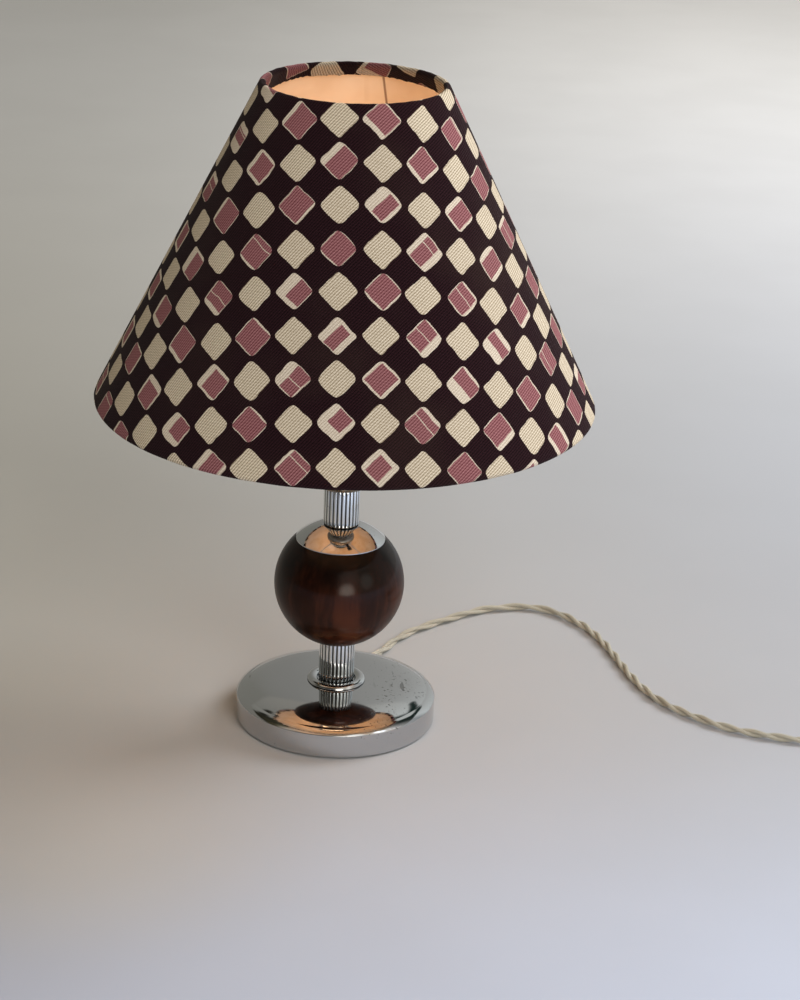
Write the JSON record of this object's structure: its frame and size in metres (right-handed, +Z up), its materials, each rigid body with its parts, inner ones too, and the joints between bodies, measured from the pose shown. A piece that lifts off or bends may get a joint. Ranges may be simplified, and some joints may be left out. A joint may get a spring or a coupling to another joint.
{
  "type": "table lamp",
  "caption": "Table lamp: round chromed foot, reeded column through a lacquered wooden ball, switched lampholder, cone cloth shade, twisted cord with plug.",
  "frame": {"origin": "centre of the foot's underside, on the surface it stands on", "axes": "+Z up along the column; -Y is the front that the picture shows, +X is to its right"},
  "size_m": [0.5003, 0.2909, 0.3642],
  "materials": {
    "chrome": "bright plated, light wear",
    "cast_iron": "as cast",
    "felt": "wool felt",
    "zinc_steel": "zinc plated",
    "lacquered_wood": "dark brown, high-gloss lacquer",
    "nickel": "dull nickel plate",
    "black_resin": "black moulded resin",
    "porcelain": "white glazed",
    "brass": "plain",
    "bulb_cap_metal": "plain",
    "opal_glass": "opal, lit from within",
    "shade_cloth": "twill with a checkerboard of rounded diamonds",
    "shade_lining": "matt laminate",
    "white_wire": "white enamel",
    "cord_cloth": "braided, two twisted cores",
    "cream_resin": "cream moulded resin",
    "plug_pins": "plated",
    "strap": "woven strap"
  },
  "bodies": {
    "stand": {"base_shell": "chrome", "column_collar": "chrome", "lower_tube": "chrome", "ball_cap": "chrome", "upper_tube": "chrome", "base_weight": "cast_iron", "base_felt": "felt", "rod_nut": "zinc_steel", "rod_washer": "zinc_steel", "tie_rod": "zinc_steel", "ball": "lacquered_wood", "holder_cap": "nickel", "holder_shell": "nickel", "shade_ring_lower": "nickel", "holder_insert": "porcelain", "screw_shell": "brass", "centre_contact": "brass", "terminal_1": "brass", "terminal_2": "brass", "switch_blade": "brass", "inner_lead": "cord_cloth", "lead_core_1": "cord_cloth", "lead_core_2": "cord_cloth", "cord": "cord_cloth", "cord_coil": "cord_cloth", "cord_bush": "cream_resin", "plug_relief": "cream_resin", "plug_body": "cream_resin", "plug_pin_1": "plug_pins", "plug_pin_2": "plug_pins", "cord_tie": "strap"},
    "switch": {"switch_key": "black_resin", "switch_drum": "black_resin"},
    "bulb": {"bulb_cap": "bulb_cap_metal", "bulb_insulator": "black_resin", "bulb_contact": "brass", "bulb_glass": "opal_glass"},
    "shade": {"shade_cover": "shade_cloth", "shade_lining": "shade_lining", "top_ring": "white_wire", "bottom_ring": "white_wire", "fitter_ring": "white_wire", "fitter_arm_1": "white_wire", "fitter_arm_2": "white_wire", "fitter_arm_3": "white_wire"},
    "clamp_ring": {"shade_ring_upper": "nickel"}
  },
  "joints": [
    {"name": "switch_turn", "type": "hinge", "parent": "stand", "child": "switch", "pos_m": [0, 0, 0.165], "axis": [0.5736, -0.8192, 0], "continuous": true},
    {"name": "bulb_turn", "type": "hinge", "parent": "stand", "child": "bulb", "pos_m": [0, 0, 0.19], "axis": [0, 0, 1], "continuous": true},
    {"name": "shade_turn", "type": "hinge", "parent": "stand", "child": "shade", "pos_m": [0, 0, 0.19], "axis": [0, 0, 1], "continuous": true},
    {"name": "clamp_ring_turn", "type": "hinge", "parent": "stand", "child": "clamp_ring", "pos_m": [0, 0, 0.19], "axis": [0, 0, 1], "continuous": true}
  ]
}
